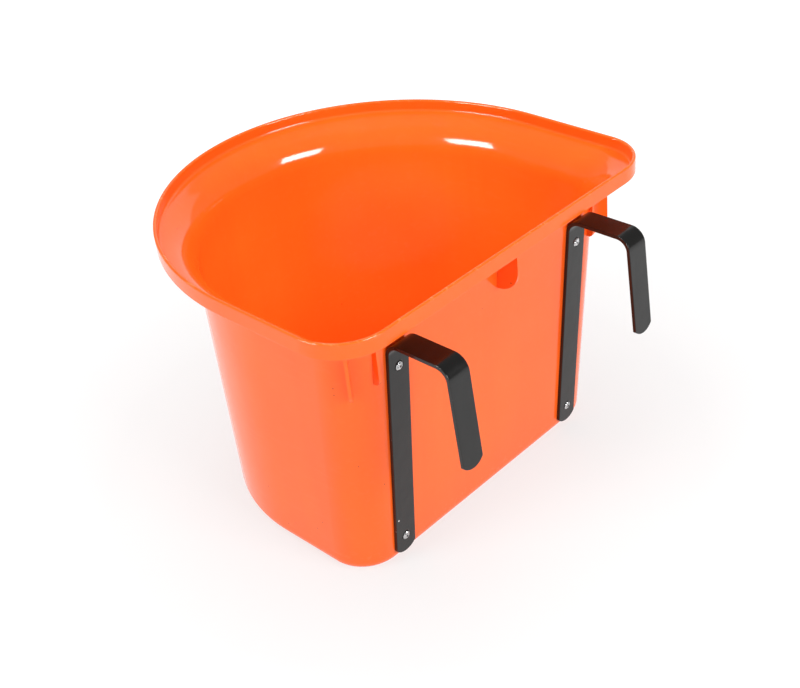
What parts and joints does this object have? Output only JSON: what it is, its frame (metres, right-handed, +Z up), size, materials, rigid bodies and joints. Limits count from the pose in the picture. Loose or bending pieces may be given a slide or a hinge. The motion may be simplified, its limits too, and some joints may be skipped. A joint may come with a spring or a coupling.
{
  "type": "feed bucket",
  "caption": "Portable hook-over feed bucket: D-shaped moulded bucket with a flared rim and bent steel bar hooks riveted to its flat back.",
  "frame": {"origin": "centre of the overall box at the level of the base, which is the ground", "axes": "+Z up, +Y out of the flat back towards the hooks' rail, -Y the round front, +X to the left as seen from behind"},
  "size_m": [0.343, 0.3454, 0.241],
  "materials": {
    "bucket_plastic": "glossy injection-moulded orange plastic",
    "bar_paint": "gloss black paint over flat steel bar",
    "rivet_aluminium": "plain aluminium, slightly dulled",
    "mandrel_steel": "broken steel pin, dull",
    "washer_steel": "zinc-plated steel"
  },
  "bodies": {
    "root": {"bucket_shell": "bucket_plastic", "left_hook_bar": "bar_paint", "right_hook_bar": "bar_paint", "left_lower_rivet": "rivet_aluminium", "left_lower_mandrel": "mandrel_steel", "left_lower_washer": "washer_steel", "left_upper_rivet": "rivet_aluminium", "left_upper_mandrel": "mandrel_steel", "left_upper_washer": "washer_steel", "right_lower_rivet": "rivet_aluminium", "right_lower_mandrel": "mandrel_steel", "right_lower_washer": "washer_steel", "right_upper_rivet": "rivet_aluminium", "right_upper_mandrel": "mandrel_steel", "right_upper_washer": "washer_steel"}
  },
  "joints": []
}
